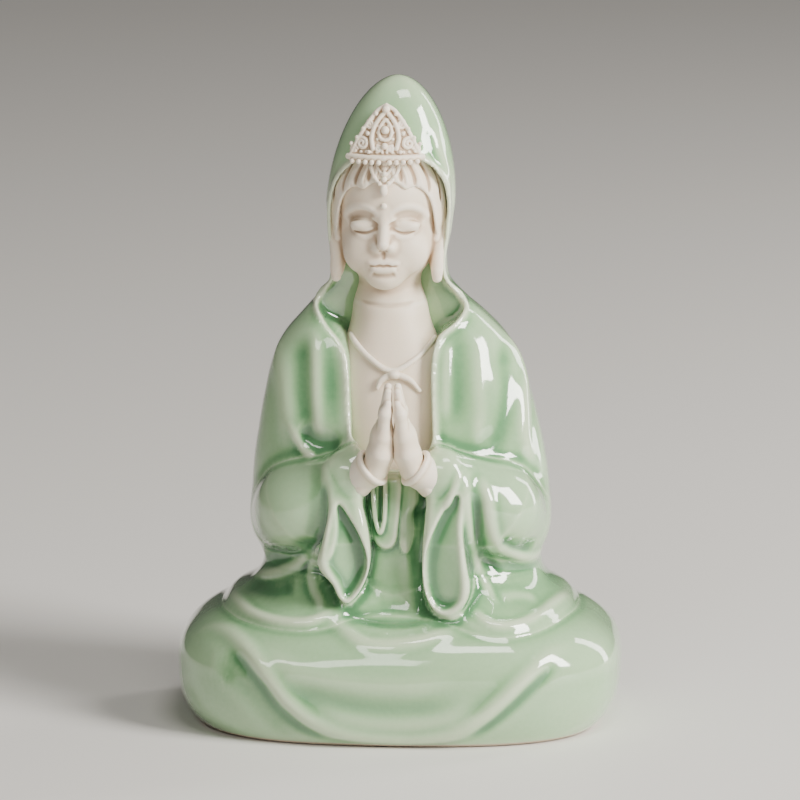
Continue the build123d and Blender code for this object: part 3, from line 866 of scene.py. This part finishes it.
def crown_body(p):
    q = face_frame(p)
    face = (q[:, 1] - CROWN_FRONT - CROWN_LEAN * (q[:, 2] - CROWN_Z) - q[:, 0] ** 2 / CROWN_BOW) * 0.93
    share = np.clip((q[:, 2] - CROWN_Z) / CROWN_TALL, 0, 1)
    edge = (q[:, 0] - crown_half_width(share)) * 0.8
    ends = np.maximum(-0.4 - (q[:, 2] - CROWN_Z), q[:, 2] - CROWN_Z - CROWN_TALL)
    plate = keep(np.abs(face - 0.6) - 0.5, np.maximum(edge, ends), 0.4)
    for path, radius in CROWN_WIRES:
        plate = join(plate, tube(q, path, radius, 1), 0.25)
    for u, v, radius in CROWN_BEADS:
        place = on_crown((u, v), (u, v + 0.01))[0]
        plate = join(plate, egg(q, place + vec(0, -0.25, 0), (radius, radius, radius)), 0.2)
    for u, v in CROWN_GRAINS:
        if u < crown_half_width(v / CROWN_TALL) - 0.6:
            place = on_crown((u, v), (u, v + 0.01))[0]
            plate = join(plate, egg(q, place + vec(0, 0.15, 0), (0.36, 0.4, 0.36)), 0.2)
    return plate


PENDANT_TOP = CROWN_Z - 0.9
PENDANT_STEPS = 4


def over_hair(u, z, lift=0.3):
    """A place just over the combed hair."""
    return on_skin(hair_cap, [(u, z)])[0] + vec(0, -lift, 0)


PENDANT_SWAGS = [
    (curve([over_hair(u, PENDANT_TOP - drop) for u, drop in places]), radius)
    for radius, places in (
        (0.42, ((3.1, 0), (2.9, 1.8), (1.7, 3.8), (0.3, 5))),
        (0.34, ((1.7, 0), (1.5, 1.2), (0.4, 2.6))),
    )
]
PENDANT_DROP = on_skin(skull, [(0, PENDANT_TOP - 5.9)])[0] + vec(0, -1.0, 0)


def pendant_body(p):
    q = face_frame(p)
    out = egg(q, PENDANT_DROP, (0.9, 0.85, 1.35))
    for i in range(PENDANT_STEPS):
        out = join(out, egg(q, over_hair(0, PENDANT_TOP - 1.2 * i, 0.4), (0.68, 0.68, 0.68)), 0.25)
    for u, drop in ((3, 1), (2.3, 3), (1, 4.4)):
        out = join(out, egg(q, over_hair(u, PENDANT_TOP - drop, 0.4), (0.5, 0.5, 0.5)), 0.2)
    for path, radius in PENDANT_SWAGS:
        out = join(out, tube(q, path, radius), 0.2)
    return out


def brow_bead_body(p):
    place = on_skin(skull, [(0, BROW_Z + 1.6)])[0]
    return egg(face_frame(p), place + vec(0, -0.15, 0), (0.72, 0.6, 0.72))


def over_chest(lift, *pairs):
    """Places a little in front of the chest, at each (x, z)."""
    return [point - vec(0, lift, 0) for point in on_skin(chest_body, pairs)]


CORD = curve(over_chest(
    0.2, (-11.6, 90), (-9.9, 87.4), (-5.5, 83.7), (-1.1, 81.7), (3.7, 84), (7, 86.9), (9.4, 90)
))
BOW = curve(over_chest(0.5, (-4.4, 78), (-3.4, 79.8), (-0.8, 80.9), (2.6, 79.9), (5, 77.4)))
KNOT = over_chest(0.8, (-0.7, 81))[0]


def cord_body(p):
    return tube(p, CORD, (0.6, 0.68, 0.7, 0.6, 0.5))


def bow_body(p):
    return join(tube(p, BOW, (0.45, 0.7, 0.8, 0.7, 0.45)), egg(p, KNOT, (1.3, 1.1, 1.0)), 0.4)


def hand_line(z):
    """Where, in y, the middle of the pressed hands is at a height."""
    return -24.6 - 0.22 * (z - 64)


FINGERS = [(2.9, 80.4), (1.05, 82.2), (-0.85, 81.2), (-2.5, 78.6)]  # (behind the middle, tip's height)


def hand_body(side):
    def field(p):
        q = p * vec(side, 1, 1)
        squashed = q.copy()
        squashed[:, 1] = (q[:, 1] - hand_line(q[:, 2])) / 1.45
        body = limb(
            squashed, [(7.6, 0.8, 57.4), (4.2, 0.4, 61.8), (3.0, 0, 65.6), (2.4, 0, 70), (2.0, 0, 73)],
            (2.4, 2.5, 2.75, 2.3, 1.7), 2,
        )
        for behind, tip in FINGERS:
            finger = limb(
                q,
                [(2.2, hand_line(70) + behind, 70),
                 (1.7, hand_line(76) + 0.85 * behind, 76 - 0.2 * abs(behind)),
                 (1.05, hand_line(tip) + 0.6 * behind, tip - 0.8)],
                (1.5, 1.35, 0.85), 0.8,
            )
            body = join(body, finger, 0.35)
        thumb = limb(
            q, [(3.6, hand_line(64) + 3.4, 64.5), (2.2, hand_line(69) + 4.4, 69.5),
                (1.2, hand_line(74) + 4.6, 74.2)],
            (1.5, 1.2, 0.8), 1,
        )
        return keep(join(body, thumb, 0.6), 0.06 - q[:, 0], 0.15)

    return field


CUFF_END = vec(4.8, -23.9, 62.2)
CUFF_WAY = vec(-0.74, -0.26, 0.62)


def cuff_body(side):
    def field(p):
        q = p * vec(side, 1, 1)
        outside = limb(q, [(8.8, -21.4, 58.8), tuple(CUFF_END)], (3.7, 4.2))
        bore = limb(q, [(12.6, -20, 56), tuple(CUFF_END + 6 * CUFF_WAY)], (3.5, 3.5))
        past = (q - CUFF_END) @ CUFF_WAY
        aside = np.sqrt(np.maximum(((q - CUFF_END) ** 2).sum(1) - past**2, 0))
        rim = np.sqrt((aside - 3.95) ** 2 + past**2) - 0.6
        return join(cut(keep(outside, past, 0.4), bore, 0.4), rim, 0.8)

    return field


# ---------------------------------------------------------------- finishes


class Finish:
    """A node material being built round its Principled shader."""

    def __init__(self, name, roughness):
        self.material = bpy.data.materials.new(name)
        self.material.use_nodes = True
        self.tree = self.material.node_tree
        self.shader = self.tree.nodes["Principled BSDF"]
        self.shader.inputs["Roughness"].default_value = roughness
        self.place = self.add("ShaderNodeNewGeometry").outputs["Position"]

    def add(self, kind, **inputs):
        """A node. An underscore in an input's name stands for a space."""
        node = self.tree.nodes.new(kind)
        for key, value in inputs.items():
            self.feed(node.inputs[key.replace("_", " ")], value)
        return node

    def feed(self, socket, value):
        if isinstance(value, bpy.types.NodeSocket):
            self.tree.links.new(value, socket)
        else:
            socket.default_value = value

    def math(self, operation, a, b):
        node = self.tree.nodes.new("ShaderNodeMath")
        node.operation = operation
        self.feed(node.inputs[0], a)
        self.feed(node.inputs[1], b)
        return node.outputs[0]

    def attribute(self, label):
        node = self.tree.nodes.new("ShaderNodeAttribute")
        node.attribute_name = label
        return node.outputs["Fac"]

    def noise(self, scale, detail=2.0):
        """Noise between 0 and 1, with scale features to the metre."""
        node = self.add("ShaderNodeTexNoise", Vector=self.place, Scale=scale, Detail=detail)
        return node.outputs["Fac"]

    def ramp(self, value, *stops):
        """Colours (position, red, green, blue) along a value."""
        node = self.add("ShaderNodeValToRGB", Fac=value)
        elements = node.color_ramp.elements
        while len(elements) < len(stops):
            elements.new(0.5)
        for element, (position, *color) in zip(elements, stops):
            element.position = position
            element.color = (*color, 1)
        return node.outputs["Color"]

    def blend(self, share, a, b):
        """Colour a where share is 0 and b where it is 1."""
        node = self.tree.nodes.new("ShaderNodeMix")
        node.data_type = "RGBA"
        self.feed(node.inputs["Factor"], share)
        self.feed(node.inputs["A"], a)
        self.feed(node.inputs["B"], b)
        return node.outputs["Result"]

    def bump(self, height, distance):
        node = self.add("ShaderNodeBump", Height=height, Distance=distance, Strength=1.0)
        self.feed(self.shader.inputs["Normal"], node.outputs["Normal"])


FOOT_GLAZE_STOPS = 0.0009  # the foot's rim is wiped clean of glaze below this height
RAW_CLAY = (0.56, 0.47, 0.37, 1)
GLAZE_ROUGHNESS, RAW_ROUGHNESS = 0.1, 0.75


def glaze_material():
    """Celadon: pooled green in hollows, thin and creamy over edges, glossy all over."""
    finish = Finish("celadon_glaze", GLAZE_ROUGHNESS)
    height = finish.add("ShaderNodeSeparateXYZ", Vector=finish.place).outputs["Z"]
    raw = finish.math("LESS_THAN", height, FOOT_GLAZE_STOPS)
    broad = finish.math("MULTIPLY", finish.attribute("relief_broad"), 0.5)
    fine = finish.math("MULTIPLY", finish.attribute("relief_fine"), 0.5)
    flow = finish.math("MULTIPLY", finish.math("SUBTRACT", finish.noise(28, 3.0), 0.5), 0.10)
    specks = finish.math("MULTIPLY", finish.math("SUBTRACT", finish.noise(900), 0.5), 0.05)
    depth = finish.math("ADD", finish.math("ADD", broad, fine), finish.math("ADD", flow, specks))
    color = finish.ramp(
        depth, (0.12, 0.035, 0.13, 0.05), (0.34, 0.12, 0.29, 0.13), (0.47, 0.26, 0.46, 0.23),
        (0.58, 0.38, 0.57, 0.33), (0.70, 0.49, 0.65, 0.41), (0.92, 0.70, 0.78, 0.57),
    )
    finish.feed(finish.shader.inputs["Base Color"], finish.blend(raw, color, RAW_CLAY))
    roughness = finish.math("MAXIMUM", finish.math("MULTIPLY", raw, RAW_ROUGHNESS), GLAZE_ROUGHNESS)
    finish.feed(finish.shader.inputs["Roughness"], roughness)
    finish.feed(finish.shader.inputs["Coat Weight"], finish.math("SUBTRACT", 1.0, raw))
    finish.shader.inputs["Coat Roughness"].default_value = 0.02
    finish.shader.inputs["Coat IOR"].default_value = 1.55
    finish.bump(finish.noise(240, 1.0), 0.00006)
    return finish.material


def bisque_material():
    """Unglazed porcelain: warm ivory, matt and very fine grained, with painted shade darkening its creases
    and hollows and painted light paling its ridges.
    """
    finish = Finish("bisque", 0.5)
    grain = finish.math("MULTIPLY", finish.noise(2500), 0.06)
    # Painted shade and light: the ramp turns low relief_fine (creases, hollows) brown and high relief_fine
    # (ridges) paler; only the grain is the clay's own.
    depth = finish.math("ADD", finish.attribute("relief_fine"), grain)
    color = finish.ramp(
        depth, (0.10, 0.46, 0.33, 0.22), (0.42, 0.72, 0.59, 0.45), (0.56, 0.84, 0.72, 0.57),
        (0.85, 0.92, 0.82, 0.69),
    )
    finish.feed(finish.shader.inputs["Base Color"], color)
    finish.shader.inputs["Subsurface Weight"].default_value = 0.12
    finish.shader.inputs["Subsurface Radius"].default_value = (1.0, 0.6, 0.4)
    finish.shader.inputs["Subsurface Scale"].default_value = 0.0012
    finish.bump(finish.noise(5000, 3.0), 0.00002)
    return finish.material


def raw_clay_material():
    """The slab under the foot: bare clay, sandy, with dark specks and a rubbed sheen."""
    finish = Finish("raw_foot", 0.8)
    cloud = finish.noise(90, 4.0)
    specks = finish.math("GREATER_THAN", finish.noise(2600, 1.0), 0.70)
    color = finish.ramp(cloud, (0.25, 0.50, 0.41, 0.31), (0.75, 0.62, 0.53, 0.42))
    finish.feed(finish.shader.inputs["Base Color"], finish.blend(specks, color, (0.22, 0.15, 0.10, 1)))
    finish.bump(finish.noise(1800, 4.0), 0.00015)
    return finish.material


glaze = glaze_material()
bisque = bisque_material()

# ---------------------------------------------------------------- pieces

ROOM = 2.0  # left round a CAD node's box, in grid units


def glazed_piece(node, field, low, high, cell):
    mesh_field("glazed_" + node, node, field, low, high, cell, glaze)


def bisque_piece(node, field, cell, grow=ROOM):
    low, high = grid_box(node)
    mesh_field("bisque_" + node, node, field, low - grow, high + grow, cell, bisque)


glazed_piece("lap", hollow_lap, (-51, -36.5, -1), (51, 36, 31), 0.62)
glazed_piece("mantle", robe_piece(1), (-42, -29, 24), (42, 34, 148), 0.62)
glazed_piece("under_robe", robe_piece(2), (-16, -25, 22), (16, -8, 60), 0.5)
for i, side in ((3, "right_sleeve"), (4, "left_sleeve")):
    low, high = grid_box(side)
    glazed_piece(side, robe_piece(i), low - 4, high + 4, 0.42)
glazed_piece("sash", robe_piece(5), (-7, -25, 40), (5, -16, 62), 0.25)
bisque_piece("head", torso_part(1), 0.215, 3)
bisque_piece("chest", torso_part(-1), 0.4, 5)
bisque_piece("hair", hair_body, 0.22, 20)
bisque_piece("crown", crown_body, 0.13)
bisque_piece("crown_pendant", pendant_body, 0.12, 4)
bisque_piece("brow_bead", brow_bead_body, 0.12, 1)
bisque_piece("necklace_cord", cord_body, 0.16, 3)
bisque_piece("necklace_bow", bow_body, 0.16, 3)
for side, name in ((-1, "right"), (1, "left")):
    bisque_piece(name + "_hand", hand_body(side), 0.18, 3)
    bisque_piece(name + "_cuff", cuff_body(side), 0.2, 3)
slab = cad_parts["base_slab"]
slab.data.materials.clear()
slab.data.materials.append(raw_clay_material())

# ---------------------------------------------------------------- floor, light and camera

bpy.ops.mesh.primitive_plane_add(size=6, location=(0, 0, 0))
floor = bpy.context.object
floor.name = "floor"
paint = bpy.data.materials.new("floor")
paint.use_nodes = True
matt = paint.node_tree.nodes["Principled BSDF"]
matt.inputs["Base Color"].default_value = (0.79, 0.77, 0.74, 1)
matt.inputs["Roughness"].default_value = 0.6
floor.data.materials.append(paint)

WARM_WHITE = (1, 0.97, 0.92)
LIT_PLACE = Vector((0, 0, 0.07))

world = bpy.data.worlds.new("studio")
bpy.context.scene.world = world
world.use_nodes = True
sky = world.node_tree.nodes["Background"]
sky.inputs["Color"].default_value = (*WARM_WHITE, 1)
sky.inputs["Strength"].default_value = 0.08


def softbox(name, place, size, power):
    """A warm white rectangle of light that faces the figure's middle; power is in watts."""
    light = bpy.data.lights.new(name, "AREA")
    light.shape = "RECTANGLE"
    light.size, light.size_y = size
    light.energy = power
    light.color = WARM_WHITE
    lamp = bpy.data.objects.new(name, light)
    lamp.location = place
    lamp.rotation_euler = (LIT_PLACE - Vector(place)).to_track_quat("-Z", "Y").to_euler()
    bpy.context.scene.collection.objects.link(lamp)


softbox("key", (0.92, -0.5, 0.62), (0.4, 0.6), 28)
softbox("top", (0.2, -0.45, 1.05), (0.45, 0.25), 4)
softbox("front_top", (-0.28, -0.86, 0.7), (0.55, 0.17), 2.0)
softbox("rim_right", (0.75, 0.5, 0.35), (0.15, 0.8), 4)

AZIMUTH, ELEVATION, DISTANCE = math.radians(3.5), math.radians(12), 1.5
target = Vector((0, 0, (cad_low.z + cad_high.z) / 2 - 0.001))
camera = bpy.data.cameras.new("camera")
camera.lens = 300
viewer = bpy.data.objects.new("camera", camera)
level = math.cos(ELEVATION)
out = Vector((math.sin(AZIMUTH) * level, -math.cos(AZIMUTH) * level, math.sin(ELEVATION)))
viewer.location = target + out * DISTANCE
viewer.rotation_euler = out.to_track_quat("Z", "Y").to_euler()
bpy.context.scene.collection.objects.link(viewer)
bpy.context.scene.camera = viewer
